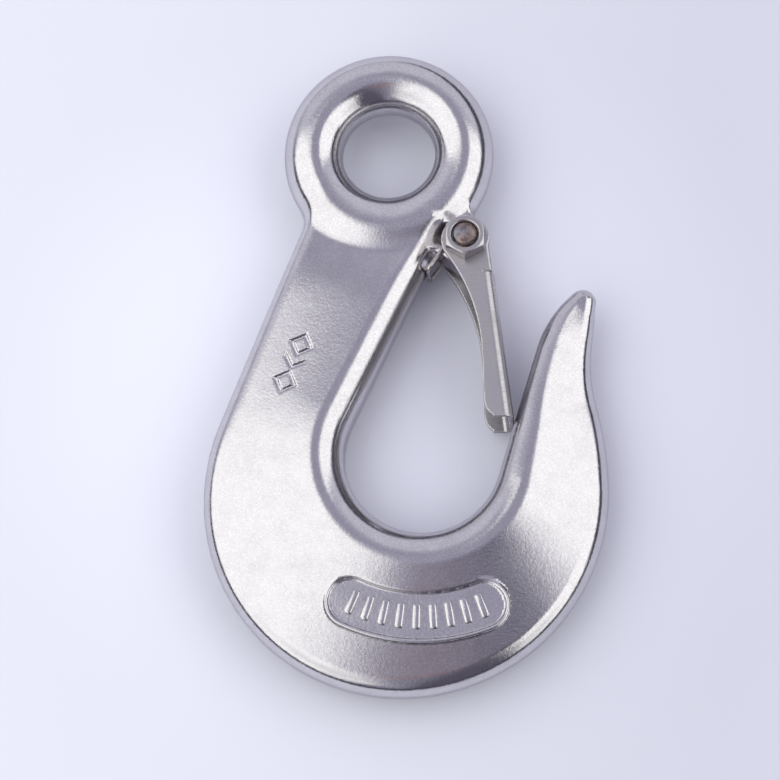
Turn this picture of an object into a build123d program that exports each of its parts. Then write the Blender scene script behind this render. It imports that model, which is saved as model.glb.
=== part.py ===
from build123d import *
import os
from math import acos, atan2, cos, degrees, pi, radians, sin, tan

# Eye slip hook with a sprung safety latch, 3/8 inch size class, cast stainless steel.
# Frame, in millimetres: the hook lies on its side. X runs from the shank to the point, Y runs up the
# shank to the eye, Z is square to the hook's plane and along the eye's bore. The origin is the
# centre of the eye's bore, on the middle plane of the hook.

# Eye
EYE_BORE_R = 9.9            # bore that takes the shackle or link
EYE_RING_R = 16.1           # circle on which the round bar of the eye is centred
EYE_BAR_R = 6.4             # radius of that bar

# Bowl and throat
BOWL_R = 16.4               # inner radius of the bowl
BOWL_X, BOWL_Y = 7.1, -66.6  # centre of the bowl
SHANK_ANGLE = 64.6          # direction of the shank's inner side, from +X
ARM_ANGLE = 73.1            # direction of the arm's inner side, from +X

# Arm and point: sizes along and from the arm's straight inner side
ARM_STRAIGHT = 29.34        # length of that side
NOSE_OFFSET = (8.18, 12.15)  # its end to where the rounded nose starts
POINT_OFFSET = (11.58, 1.3)  # its end to the hollow side of the point
NOSE_R = 2.6

# Outer outline, as directions from the bowl's centre and the bar's depth there
BACK_END = (170.25, 26.72)  # end of the straight back
HEEL = (191.62, 30.26)      # furthest back
CROWN = (266.48, 34.1)      # lowest point under the bowl
BREAST = (350.61, 22.83)    # furthest forward
ARM_OUT = (16.19, 21.61)    # where the arm starts to hollow
NECK_IN_X = 13.2            # start of the shank's inner side, inside the eye's bar
NECK_OUT = (-15.6, -10.2)   # start of the straight back, inside the eye's bar

# Sections of the hook's bar, from the neck to the nose. Each is rounded at both edges:
# (flat half height and round radius at the inner edge, the same at the outer edge)
NECK = (1.0, 3.7, 1.5, 3.2)
SHANK_TOP = (0.9, 6.0, 2.4, 3.6)
SHANK_LOW = (0.8, 7.4, 2.2, 4.0)
BOWL_SIDE = (0.8, 7.7, 1.7, 4.0)
BOWL_DEEP = (0.8, 7.9, 1.6, 3.7)
BREAST_SIDE = (0.8, 6.9, 1.2, 3.6)
ARM_MID = (0.7, 5.0, 1.0, 3.0)
ARM_HIGH = (0.5, 3.6, 0.7, 2.5)
NOSE = (0.15, 2.2, 0.15, 2.2)

# Label pad on the hook's face: a kidney-shaped flat that follows the bowl
PAD_DEPTH = 18.2            # its middle line, from the bowl's inner side
PAD_HALF_ANGLE = 23.0
PAD_WIDTH = 10.2
PAD_Z = 6.9                 # height of its flat above the middle plane
PAD_MIDDLE = -92.0          # direction of its middle from the bowl centre

# Latch pivot and its lug on the hook
PIN_X, PIN_Y = 16.4, -21.3
BOLT_R = 2.5                # M5
LUG_R = 4.6
LUG_HALF = 4.2              # half of the lug's thickness
LUG_HOLE_GAP = 0.1          # bolt in the lug, all round
LUG_LEAN = 32.0             # fall of the lug's lower side

# Spring: a double torsion spring astride the lug
WIRE_R = 0.5
COIL_GAP = 0.25             # coil round the bolt
COIL_PITCH = 1.06
SPRING_SIDE_GAP = 0.1       # coil to the lug and to the ear
WIRE_TO_SHANK = 0.08        # loop to the shank
WIRE_TO_WEB = 0.3           # legs' ends to the web
BAIL_DROP = 5.6             # loop on the shank, below the pivot
LEG_DROP = 12.0             # legs' ends, below the pivot
BAIL_BEND_R = 1.2           # corners of the loop

# Latch: a folded channel of sheet metal with two ears on the bolt
SHEET = 1.0
EAR_R = 5.1
EAR_HOLE_GAP = 0.06         # running fit on the bolt
LATCH_DROP = 38.3           # pivot to the free end, down the hook
TIP_WIDTH = 6.1
BELLY_X, BELLY_DROP = 3.3, 24.5  # where the plates' hollow side ends, from the pivot
CORNER_R = 3.2
WEB_DROP = 7.0              # where the web starts, below the pivot
WEB_STEP = 0.3              # ears' set-back from the web's face
BEND_R = 1.8                # outside radius of the fold
LATCH_GAP = 0.12            # closed latch to the arm

# Bolt and nut
HEX_ACROSS = 8.0
HEX_CHAMFER = 0.45
HEAD_HEIGHT = 3.5
NUT_HEIGHT = 4.0
BOLT_PROUD = 0.6            # bolt past the nut
BOLT_END_CHAMFER = 0.5
END_GAP = 0.08              # ears to head and nut, each side

PIVOT = Vector(PIN_X, PIN_Y)
COIL_R = BOLT_R + COIL_GAP + WIRE_R
BAIL_Z = LUG_HALF + SPRING_SIDE_GAP + WIRE_R


def polar(radius, angle):
    """The point at a distance and a direction in degrees."""
    return Vector(radius * cos(radians(angle)), radius * sin(radians(angle)))


def arm_foot():
    """Where the bowl's inner side meets the arm's."""
    return Vector(BOWL_X, BOWL_Y) + polar(BOWL_R, ARM_ANGLE - 90)


def shank_foot():
    """Where the shank's inner side meets the bowl's."""
    return Vector(BOWL_X, BOWL_Y) + polar(BOWL_R, SHANK_ANGLE + 90)


def arm_top():
    """End of the arm's straight inner side."""
    return arm_foot() + polar(ARM_STRAIGHT, ARM_ANGLE)


def inner_path():
    """Inner outline from the neck, round the bowl, to the nose, as three wires."""
    foot = shank_foot()
    neck = foot + polar((NECK_IN_X - foot.X) / cos(radians(SHANK_ANGLE)), SHANK_ANGLE)
    bowl_bottom = Vector(BOWL_X, BOWL_Y - BOWL_R)
    nose_start = arm_top() + Vector(*NOSE_OFFSET)
    shank = Line(neck, foot)
    bowl = ThreePointArc(foot, bowl_bottom, arm_foot())
    arm = Line(arm_foot(), arm_top())
    point = TangentArc(arm_top(), nose_start, tangent=polar(1, ARM_ANGLE))
    return shank, bowl, Wire([arm, point])


def outer_point(place):
    """A point of the outer outline from its direction and the bar's depth there."""
    direction, depth = place
    return Vector(BOWL_X, BOWL_Y) + polar(BOWL_R + depth, direction)


def outer_path(nose_centre):
    """Outer outline from the neck, round the crown, to the nose, as three wires."""
    back = Line(NECK_OUT, outer_point(BACK_END))
    heel = TangentArc(back @ 1, outer_point(HEEL), tangent=back % 1)
    under = TangentArc(heel @ 1, outer_point(CROWN), tangent=heel % 1)
    front = TangentArc(under @ 1, outer_point(BREAST), tangent=under % 1)
    arm = TangentArc(front @ 1, outer_point(ARM_OUT), tangent=front % 1)
    hollow = TangentArc(arm @ 1, arm_top() + Vector(*POINT_OFFSET), tangent=arm % 1)
    point = TangentArc(hollow @ 1, nose_centre + Vector(NOSE_R, 0), tangent=hollow % 1)
    return back, Wire([heel, under, front]), Wire([arm, hollow, point])


def bar_section(inner, outer, shape):
    """Closed section of the bar between an inner and an outer point of the outline."""
    land_in, round_in, land_out, round_out = shape
    across = outer - inner
    width = across.length
    reach = width - round_in - round_out
    rise = land_out - land_in
    span = (reach**2 + rise**2) ** 0.5
    lean = (round_in - round_out) / span
    level = (1 - lean**2) ** 0.5
    normal = (lean * reach / span - level * rise / span, lean * rise / span + level * reach / span)

    def arc_points(middle, land, radius, edge_sign):
        start = (middle + edge_sign * radius, land)
        end = (middle + radius * normal[0], land + radius * normal[1])
        half = ((start[0] + end[0]) / 2 - middle, (start[1] + end[1]) / 2 - land)
        size = (half[0] ** 2 + half[1] ** 2) ** 0.5
        through = (middle + radius * half[0] / size, land + radius * half[1] / size)
        return start, through, end

    a, b, c = arc_points(round_in, land_in, round_in, -1)
    f, e, d = arc_points(width - round_out, land_out, round_out, 1)

    def below(point):
        return (point[0], -point[1])

    outline = Wire([
        ThreePointArc(a, b, c), Line(c, d), ThreePointArc(d, e, f), Line(f, below(f)),
        ThreePointArc(below(f), below(e), below(d)), Line(below(d), below(c)),
        ThreePointArc(below(c), below(b), below(a)), Line(below(a), a),
    ])
    plane = Plane(origin=inner, x_dir=across, z_dir=across.cross(Vector(0, 0, 1)))
    return plane * Face(outline)


def blend(first, second, share):
    """A section part way between two others."""
    return tuple(a + (b - a) * share for a, b in zip(first, second))


def hook_bar():
    """The curved bar of the hook, through sections square to its run."""
    inner_runs = inner_path()
    nose_start = inner_runs[2] @ 1
    nose_run = inner_runs[2] % 1
    nose_centre = nose_start + Vector(nose_run.Y, -nose_run.X) * NOSE_R
    outer_runs = outer_path(nose_centre)
    # Sections named above, at shares of each run of the outline, inner side and outer side alike
    plan = (
        ((0, NECK), (0.35, SHANK_TOP), (1, SHANK_LOW)),
        ((0, SHANK_LOW), (0.22, BOWL_SIDE), (0.55, BOWL_DEEP), (1, BREAST_SIDE)),
        ((0, BREAST_SIDE), (0.42, ARM_MID), (0.75, ARM_HIGH), (1, NOSE)),
    )
    steps = (4, 8, 7)
    sections = []
    for run, (inner, outer) in enumerate(zip(inner_runs, outer_runs)):
        for step in range(0 if run == 0 else 1, steps[run] + 1):
            share = step / steps[run]
            for (low, first), (high, second) in zip(plan[run], plan[run][1:]):
                if low <= share <= high:
                    shape = blend(first, second, (share - low) / (high - low))
            sections.append(bar_section(inner @ share, outer @ share, shape))
    bar = loft(sections)
    # The ball's seam is turned away from the bar's end, so that the two fuse cleanly
    nose = Pos(*nose_centre) * Rot(0, 0, 130) * Sphere(NOSE_R)
    return bar + nose


def label_pad():
    """The kidney-shaped outline of the label pad."""
    start = PAD_MIDDLE - PAD_HALF_ANGLE
    middle_line = CenterArc((BOWL_X, BOWL_Y), BOWL_R + PAD_DEPTH, start, 2 * PAD_HALF_ANGLE)
    return SlotArc(middle_line, PAD_WIDTH)


def lug():
    """The flat lug beside the neck that carries the latch bolt."""
    low_side = PIVOT + polar(LUG_R, 270 - LUG_LEAN)
    front_side = PIVOT + polar(LUG_R, LUG_LEAN)
    root = low_side + polar(LUG_R * 1.8, 180 - LUG_LEAN)
    ring_front = polar(EYE_RING_R + EYE_BAR_R * 0.8, -36)
    ring_foot = polar(EYE_RING_R, -50)
    corners = [root, low_side, PIVOT, front_side, ring_front, ring_foot]
    flange = Face(Wire.make_polygon(corners, close=True))
    boss = Pos(PIN_X, PIN_Y) * Circle(LUG_R)
    return extrude(flange, LUG_HALF, both=True) + extrude(boss, LUG_HALF, both=True)


def hook_body():
    """The one-piece hook: eye, bar, label pad and latch lug."""
    ring = Torus(EYE_RING_R, EYE_BAR_R)
    body = hook_bar() + ring
    body -= Cylinder(EYE_BORE_R, 4 * EYE_BAR_R)
    sky = extrude(label_pad(), 2 * PAD_Z)
    body -= Pos(0, 0, PAD_Z) * sky
    body += extrude(label_pad(), PAD_Z)
    body += lug()
    body -= Pos(PIN_X, PIN_Y) * Cylinder(BOLT_R + LUG_HOLE_GAP, 4 * LUG_HALF)
    return body


def web_face_x(drop):
    """The web's outer face at a drop below the pivot: from the ear to just short of the arm."""
    tip_y = PIN_Y - LATCH_DROP
    arm_x = arm_foot().X + (tip_y - arm_foot().Y) / tan(radians(ARM_ANGLE))
    tip_x = arm_x - LATCH_GAP / sin(radians(ARM_ANGLE)) - PIN_X
    return EAR_R + (tip_x - EAR_R) * drop / LATCH_DROP


def band(left, right, top, foot):
    """A four-sided face between two functions of the drop below the pivot."""
    corners = [(left(top), -top), (right(top), -top), (right(foot), -foot), (left(foot), -foot)]
    return Face(Wire.make_polygon([Vector(x, y) for x, y in corners], close=True))


def latch():
    """The folded latch, closed, with its free end just short of the arm's inner side."""
    ear_outer = ear_inner() + SHEET
    belly = Vector(BELLY_X, -BELLY_DROP)
    foot_left = Vector(web_face_x(LATCH_DROP) - TIP_WIDTH, -LATCH_DROP)
    ear_left = polar(EAR_R, 215)
    hollow = TangentArc(belly, ear_left, tangent=belly - foot_left)
    corners = [
        ear_left, (0, 0), (EAR_R - WEB_STEP, 0), (web_face_x(WEB_DROP) - WEB_STEP, -WEB_DROP),
        (web_face_x(WEB_DROP) - BEND_R, -WEB_DROP),
        (web_face_x(LATCH_DROP) - BEND_R, -LATCH_DROP), foot_left, belly,
    ]
    outline = Wire([hollow] + [Line(a, b) for a, b in zip(corners, corners[1:])])
    plate = Sketch() + Face(outline)
    plate = fillet(plate.vertices().sort_by_distance(foot_left)[0], CORNER_R)
    plate += Circle(EAR_R)
    channel = extrude(plate, ear_outer, both=True)

    fold = extrude(band(lambda d: web_face_x(d) - 2 * BEND_R, web_face_x, WEB_DROP, LATCH_DROP),
                   ear_outer, both=True)
    fold = fillet(fold.edges().filter_by(Plane.XY).sort_by(Axis.X)[-4:].filter_by(
        lambda edge: edge.length > LATCH_DROP / 2), BEND_R)
    channel += fold

    wide = 2 * LATCH_DROP
    hollow_low = extrude(band(lambda d: -wide, lambda d: web_face_x(d) - SHEET, WEB_DROP, wide),
                         ear_inner(), both=True)
    hollow_low = fillet(hollow_low.edges().filter_by(Plane.XY).filter_by(
        lambda edge: edge.length > LATCH_DROP and edge.center().X > 0), BEND_R - SHEET)
    hollow_top = extrude(band(lambda d: -wide, lambda d: wide, -wide, WEB_DROP),
                         ear_inner(), both=True)
    channel -= hollow_low + hollow_top
    channel -= Cylinder(BOLT_R + EAR_HOLE_GAP, 4 * ear_outer)
    return Pos(PIN_X, PIN_Y) * channel


def tangent_angle(point, side):
    """Where a wire from a point meets the coil, as a direction from the pivot."""
    away = degrees(atan2(point.Y, point.X))
    return away + side * degrees(acos(COIL_R / (point.X**2 + point.Y**2) ** 0.5))


def bail_point():
    """Centre of the wire where the loop bears on the shank's inner side, from the pivot."""
    stand_off = (WIRE_R + WIRE_TO_SHANK) / sin(radians(SHANK_ANGLE))
    y = PIN_Y - BAIL_DROP
    x = shank_foot().X + (y - shank_foot().Y) / tan(radians(SHANK_ANGLE)) + stand_off
    return Vector(x, y) - PIVOT


def leg_point():
    """Centre of the wire at the end of a leg, behind the web, from the pivot."""
    return Vector(web_face_x(LEG_DROP) - SHEET - WIRE_R - WIRE_TO_WEB, -LEG_DROP)


def coil_turn():
    """Degrees that each coil runs through, clockwise from its bail side to its leg."""
    return tangent_angle(bail_point(), -1) % 360 - tangent_angle(leg_point(), 1) % 360 + 360


def ear_inner():
    """Inner face of an ear: the lug, the coil's height and its side gaps."""
    return LUG_HALF + 2 * SPRING_SIDE_GAP + 2 * WIRE_R + COIL_PITCH * coil_turn() / 360


def latch_spring():
    """The spring: a leg and a coil each side of the lug, joined by the loop on the shank."""
    lift = Vector(0, 0, BAIL_Z)
    rise = Vector(0, 0, COIL_PITCH * coil_turn() / 360)
    start_angle = tangent_angle(bail_point(), -1)
    coil_start = polar(COIL_R, start_angle) + lift
    coil_end = polar(COIL_R, start_angle - coil_turn()) + lift + rise
    # The coil is drawn anticlockwise and flipped, so that it winds clockwise
    coil = Helix(COIL_PITCH, rise.Z, COIL_R).mirror(Plane.XZ)
    coil = Pos(*lift) * Rot(0, 0, start_angle) * coil

    corner = bail_point() + lift
    run = (corner - coil_start).normalized()
    bend_start, bend_end = corner - run * BAIL_BEND_R, corner - Vector(0, 0, BAIL_BEND_R)
    bend_middle = corner - (run + Vector(0, 0, 1)) * BAIL_BEND_R * (1 - 0.5**0.5)
    path = Wire([
        Line(leg_point() + lift + rise, coil_end), coil, Line(coil_start, bend_start),
        ThreePointArc(bend_start, bend_middle, bend_end), Line(bend_end, bail_point()),
    ])
    start = path @ 0
    half = sweep(Plane(origin=start, z_dir=path % 0) * Circle(WIRE_R), path=path)
    return Pos(PIN_X, PIN_Y) * (half + mirror(half, about=Plane.XY))


def hexagon(height):
    """A hexagonal prism on the XY plane, chamfered round its top, with a corner towards -Y."""
    prism = extrude(RegularPolygon(HEX_ACROSS / 2, 6, major_radius=False, rotation=90), height)
    round_blank = Pos(0, 0, height / 2) * Cylinder(HEX_ACROSS / 2 / cos(pi / 6), height)
    top = round_blank.edges().sort_by(Axis.Z)[-1]
    return prism & chamfer(top, HEX_CHAMFER, 2 * HEX_CHAMFER)


def latch_bolt():
    """The hexagon bolt that the latch swings on, with its head underneath."""
    seat = ear_inner() + SHEET + END_GAP
    end = seat + NUT_HEIGHT + BOLT_PROUD
    shank = Pos(0, 0, (end - seat) / 2) * Cylinder(BOLT_R, end + seat)
    shank = chamfer(shank.edges().sort_by(Axis.Z)[-1], BOLT_END_CHAMFER)
    head = Pos(0, 0, -seat) * Rot(180, 0, 0) * hexagon(HEAD_HEIGHT)
    return Pos(PIN_X, PIN_Y) * (shank + head)


def lock_nut():
    """The hexagon nut on the bolt's end, screwed on to its full thread (drawn plain)."""
    seat = ear_inner() + SHEET + END_GAP
    nut = hexagon(NUT_HEIGHT) - Cylinder(BOLT_R, 4 * NUT_HEIGHT)
    return Pos(PIN_X, PIN_Y, seat) * nut


os.makedirs("parts", exist_ok=True)
for make in (hook_body, latch, latch_spring, latch_bolt, lock_nut):
    export_step(make(), f"parts/{make.__name__}.step")
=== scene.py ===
import logging
import math
from dataclasses import dataclass, field
from enum import Enum
from typing import Callable, Sequence

import bpy
import numpy as np
from mathutils import Matrix, Vector


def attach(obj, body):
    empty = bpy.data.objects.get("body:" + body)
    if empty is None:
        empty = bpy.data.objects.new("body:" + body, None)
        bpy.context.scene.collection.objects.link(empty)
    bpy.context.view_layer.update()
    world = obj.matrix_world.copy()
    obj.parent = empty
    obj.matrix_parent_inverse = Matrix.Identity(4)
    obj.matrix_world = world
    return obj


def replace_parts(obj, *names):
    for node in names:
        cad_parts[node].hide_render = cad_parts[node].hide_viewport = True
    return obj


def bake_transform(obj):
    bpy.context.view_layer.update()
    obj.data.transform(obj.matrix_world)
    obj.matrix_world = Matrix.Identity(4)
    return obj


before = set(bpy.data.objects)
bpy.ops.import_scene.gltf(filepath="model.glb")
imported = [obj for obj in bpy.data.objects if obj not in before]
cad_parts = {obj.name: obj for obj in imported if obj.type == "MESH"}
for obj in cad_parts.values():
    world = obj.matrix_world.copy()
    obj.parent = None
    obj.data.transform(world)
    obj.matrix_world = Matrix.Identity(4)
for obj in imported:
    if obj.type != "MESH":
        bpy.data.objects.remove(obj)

log = logging.getLogger("slip_hook")
MM = 0.001
Array = np.ndarray
Field = Callable[[Array, Array, Array], Array]


# ---------------------------------------------------------------- shader graph


def math_node(operation: str, reflected: bool = False) -> Callable[..., "Value"]:
    """Makes a method of Value for one Math node.

    Args:
        operation: the node's operation.
        reflected: whether the other number comes first.

    Returns:
        The method, which takes another number or Value and gives the node's result.
    """

    def method(self: "Value", other: object = 0.0) -> "Value":
        """Adds the node."""
        first, second = (other, self) if reflected else (self, other)
        return self.graph.number("ShaderNodeMath", {"operation": operation}, {0: first, 1: second})

    return method


class Value:
    """A number socket that takes part in Python arithmetic, adding Math nodes as it goes."""

    def __init__(self, graph: "Graph", socket: bpy.types.NodeSocket) -> None:
        """Keeps the graph and the socket that the number comes from."""
        self.graph = graph
        self.socket = socket

    __add__ = __radd__ = math_node("ADD")
    __mul__ = __rmul__ = math_node("MULTIPLY")
    __sub__, __rsub__ = math_node("SUBTRACT"), math_node("SUBTRACT", True)
    __truediv__, __pow__ = math_node("DIVIDE"), math_node("POWER")
    at_most, at_least, size = math_node("MINIMUM"), math_node("MAXIMUM"), math_node("ABSOLUTE")
    sine, cosine = math_node("SINE"), math_node("COSINE")

    def ramp(self, low: float, high: float) -> "Value":
        """A smooth rise from 0 at low to 1 at high; it falls where low is above high.

        Args:
            low: where the ramp is 0.
            high: where it is 1.

        Returns:
            The share, kept between 0 and 1.
        """
        start, end, first, last = (low, high, 0.0, 1.0) if low < high else (high, low, 1.0, 0.0)
        return self.graph.number(
            "ShaderNodeMapRange",
            {"interpolation_type": "SMOOTHSTEP"},
            {"Value": self, "From Min": start, "From Max": end, "To Min": first, "To Max": last},
        )


class Graph:
    """A node tree with one method for any node."""

    def __init__(self, tree: bpy.types.NodeTree) -> None:
        """Starts from an empty tree."""
        self.tree = tree
        tree.nodes.clear()

    def node(
        self, kind: str, settings: dict[str, object] | None = None, values: dict | None = None
    ) -> bpy.types.Node:
        """Adds any node.

        Args:
            kind: the node's type.
            settings: attributes that are set first; "stops" gives a colour ramp's stops.
            values: socket name or index to a number, a tuple, a socket or a Value.

        Returns:
            The new node.
        """
        made = self.tree.nodes.new(kind)
        for name, setting in (settings or {}).items():
            if name == "stops":
                elements = made.color_ramp.elements
                while len(elements) < len(setting):
                    elements.new(0.5)
                for element, (place, colour) in zip(elements, setting):
                    element.position, element.color = place, colour
            else:
                setattr(made, name, setting)
        for name, value in (values or {}).items():
            socket = made.inputs[name]
            if isinstance(value, Value):
                self.tree.links.new(value.socket, socket)
            elif isinstance(value, bpy.types.NodeSocket):
                self.tree.links.new(value, socket)
            else:
                socket.default_value = value
        return made

    def number(self, kind: str, settings: dict[str, object], values: dict, output: int | str = 0) -> Value:
        """Adds a node and wraps one of its outputs, by index or name, for arithmetic."""
        return Value(self, self.node(kind, settings, values).outputs[output])

    def noise(self, where: object, scale: float, detail: float = 3.0, rough: float = 0.5) -> Value:
        """Fractal noise with scale repeats for each metre, about 0.5 on average."""
        values = {"Vector": where, "Scale": scale, "Detail": detail, "Roughness": rough}
        return self.number("ShaderNodeTexNoise", {}, values, "Fac")

    def place(self) -> bpy.types.NodeSocket:
        """The object's own coordinates, in metres."""
        return self.node("ShaderNodeTexCoord").outputs["Object"]

    def split(self, vector: object) -> list[Value]:
        """The three numbers of a vector or colour."""
        return [Value(self, out) for out in self.node("ShaderNodeSeparateXYZ", {}, {0: vector}).outputs]

    def hollow(self) -> Value:
        """How hollow the surface is, as Skin leaves it on the mesh."""
        return self.number("ShaderNodeAttribute", {"attribute_name": "hollow"}, {}, "Fac")

    def surface(self, shader: bpy.types.Node, kind: str = "Material") -> None:
        """Ends the tree of a material or world on a shader."""
        self.node("ShaderNodeOutput" + kind, {}, {"Surface": shader.outputs[0]})

    def mix(self, share: object, first: object, second: object) -> bpy.types.NodeSocket:
        """The first colour, with a share of the second one mixed in."""
        made = self.node("ShaderNodeMix", {"data_type": "RGBA"}, {0: share, 6: first, 7: second})
        return made.outputs[2]


Colour = tuple[float, float, float, float]


def grey(level: float, warmth: float = 0.0) -> Colour:
    """A neutral colour, a little warmer or cooler."""
    return (level * (1 + warmth), level, level * (1 - warmth), 1.0)


class Finish:
    """What every finish shares: it starts a material and closes it on one metal shader."""

    name = "finish"

    def material(self) -> bpy.types.Material:
        """The finish as a material, made once.

        Returns:
            The material.
        """
        found = bpy.data.materials.get(self.name)
        if found is None:
            found = bpy.data.materials.new(self.name)
            found.use_nodes = True
            self.paint(Graph(found.node_tree))
        return found

    def paint(self, graph: Graph) -> None:
        """Fills the node tree; each finish has its own way."""
        raise NotImplementedError

    @staticmethod
    def close(
        graph: Graph, colour: object, rough: object, height: Value, depth: float, metal: object = 1.0
    ) -> None:
        """Ends the tree on a metal shader.

        Args:
            graph: the tree.
            colour: base colour, as a colour or a socket.
            rough: roughness, as a number or Value.
            height: height pattern for the bump, 0 to 1.
            depth: height of that pattern in metres.
            metal: metallic share.
        """
        bump = graph.node("ShaderNodeBump", {}, {"Strength": 1.0, "Distance": depth, "Height": height})
        values = {
            "Base Color": colour, "Roughness": rough, "Metallic": metal, "Normal": bump.outputs[0],
            "Specular Tint": (0.72, 0.70, 0.74, 1.0),
        }
        graph.surface(graph.node("ShaderNodeBsdfPrincipled", {}, values))


@dataclass(frozen=True)
class CastSteel(Finish):
    """Cast stainless steel, tumbled to a satin shine with a fine grain."""

    name: str = "cast_steel"
    bright: Colour = (0.66, 0.645, 0.66, 1.0)
    dull: Colour = (0.56, 0.545, 0.56, 1.0)
    # Colour of the dark pits, and of the painted shade in the hollows and on some grain cells
    dark_pits_and_painted_shade: Colour = (0.20, 0.19, 0.20, 1.0)
    # Near white, painted on single grain cells as glints
    painted_glint: Colour = (0.92, 0.91, 0.94, 1.0)
    rough: float = 0.085
    grain_scale: float = 4200.0
    grain_depth: float = 1.6e-5

    def paint(self, graph: Graph) -> None:
        """Grain, tumbling marks, drifting sheen, painted glints on the grain and painted shade in the
        hollows.

        Args:
            graph: the material's node tree.
        """
        place = graph.place()
        grain = graph.noise(place, self.grain_scale, 2.0, 0.6)
        peel = graph.noise(place, 1500.0, 3.0, 0.6)
        drift = graph.noise(place, 90.0, 4.0, 0.5)
        cloud = graph.noise(place, 260.0, 4.0, 0.6)
        hollow = graph.hollow()
        speck, painted_glint = (
            graph.node("ShaderNodeTexVoronoi", {"feature": "F1"}, {"Vector": place, "Scale": scale})
            for scale in (1500.0, self.grain_scale)
        )
        pit = Value(graph, speck.outputs["Distance"]).ramp(0.20, 0.08) * cloud.ramp(0.52, 0.72)
        shine = graph.split(painted_glint.outputs["Color"])[0]
        wear = cloud.ramp(0.35, 0.75)
        colour = graph.mix(wear * 0.5, self.bright, self.dull)
        # Painted shade: the hollows, such as the pad's edges and round the marks, are darkened. The pits
        # below are real dark specks.
        colour = graph.mix(hollow.ramp(0.25, 0.9) * 0.8, colour, self.dark_pits_and_painted_shade)
        colour = graph.mix(pit * 0.45, colour, self.dark_pits_and_painted_shade)
        # Painted glints: some grain cells are lightened towards near white and others darkened a little,
        # standing in for sparkle.
        colour = graph.mix(shine.ramp(0.62, 1.0) * 0.22, colour, self.painted_glint)
        colour = graph.mix(shine.ramp(0.40, 0.0) * 0.09, colour, self.dark_pits_and_painted_shade)
        rough = drift.ramp(0.3, 0.7) * 0.03 + grain.ramp(0.35, 0.8) * 0.06 + hollow * 0.12 + self.rough
        height = grain * 0.55 + peel * 1.1 - pit * 0.6
        self.close(graph, colour, rough, height, self.grain_depth)


@dataclass(frozen=True)
class BrushedSheet(Finish):
    """Sheet steel brushed across the latch's length."""

    name: str = "brushed_sheet"
    bright: Colour = (0.58, 0.565, 0.575, 1.0)
    dull: Colour = (0.42, 0.405, 0.41, 1.0)
    rough: float = 0.24
    depth: float = 5.0e-6
    lean: float = 0.12

    def paint(self, graph: Graph) -> None:
        """Fine lines across, with longer scratches and a soft drift.

        Args:
            graph: the material's node tree.
        """
        place = graph.place()
        values = {"Vector": place, "Rotation": (0.0, 0.0, self.lean), "Scale": (0.06, 1.0, 0.06)}
        turned = graph.node("ShaderNodeMapping", {}, values).outputs[0]
        line = graph.noise(turned, 5200.0, 3.0, 0.7)
        scratch = graph.noise(turned, 1500.0, 2.0, 0.5)
        drift = graph.noise(place, 160.0, 3.0, 0.5)
        dull_share = line.ramp(0.3, 0.75) * 0.55 + drift.ramp(0.4, 0.7) * 0.3
        colour = graph.mix(dull_share, self.bright, self.dull)
        rough = line.ramp(0.3, 0.8) * 0.12 + drift.ramp(0.3, 0.7) * 0.06 + self.rough
        self.close(graph, colour, rough, line * 0.7 + scratch * 0.6, self.depth)


@dataclass(frozen=True)
class TurnedSteel(Finish):
    """Turned and pressed steel of the nut and bolt head, with faint tool rings."""

    name: str = "turned_steel"
    bright: Colour = (0.58, 0.56, 0.565, 1.0)
    dull: Colour = (0.38, 0.36, 0.36, 1.0)
    rough: float = 0.20
    ring_pitch: float = 0.00022
    depth: float = 3.0e-6

    def paint(self, graph: Graph) -> None:
        """Concentric rings about the bolt's axis over a mottled sheen, with painted shade in the hollows.

        Args:
            graph: the material's node tree.
        """
        place = graph.place()
        move = tuple(-c * MM for c in (*Layout.pin, 0.0))
        centred = graph.node("ShaderNodeMapping", {}, {"Vector": place, "Location": move}).outputs[0]
        across, along, _ = graph.split(centred)
        reach = (across * across + along * along) ** 0.5
        ring = (reach * (math.tau / self.ring_pitch)).sine()
        cloud = graph.noise(place, 900.0, 4.0, 0.6)
        hollow = graph.hollow()
        # Random mottling, plus painted shade that darkens the hollows of the nut and bolt.
        dull_share = cloud.ramp(0.35, 0.75) * 0.6 + hollow.ramp(0.2, 0.8) * 0.4
        colour = graph.mix(dull_share, self.bright, self.dull)
        rough = cloud.ramp(0.3, 0.7) * 0.12 + self.rough
        self.close(graph, colour, rough, ring * 0.25 + cloud * 0.6, self.depth)


@dataclass(frozen=True)
class DullBolt(Finish):
    """The bolt's sheared and stained end."""

    name: str = "dull_bolt"
    bare: Colour = (0.29, 0.28, 0.315, 1.0)
    brown: Colour = (0.34, 0.25, 0.215, 1.0)
    stain: Colour = (0.12, 0.10, 0.105, 1.0)
    rough: float = 0.36
    depth: float = 2.4e-5

    def paint(self, graph: Graph) -> None:
        """Brown-grey mottling with dents.

        Args:
            graph: the material's node tree.
        """
        place = graph.place()
        blotch = graph.noise(place, 750.0, 4.0, 0.65)
        dent = graph.noise(place, 1500.0, 2.0, 0.5)
        tint = graph.noise(place, 380.0, 2.0, 0.5)
        colour = graph.mix(tint.ramp(0.45, 0.58), self.bare, self.brown)
        colour = graph.mix(blotch.ramp(0.44, 0.66), colour, self.stain)
        rough = blotch.ramp(0.35, 0.7) * 0.22 + self.rough
        self.close(graph, colour, rough, blotch * 0.8 + dent * 0.5, self.depth, 0.9)


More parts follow.
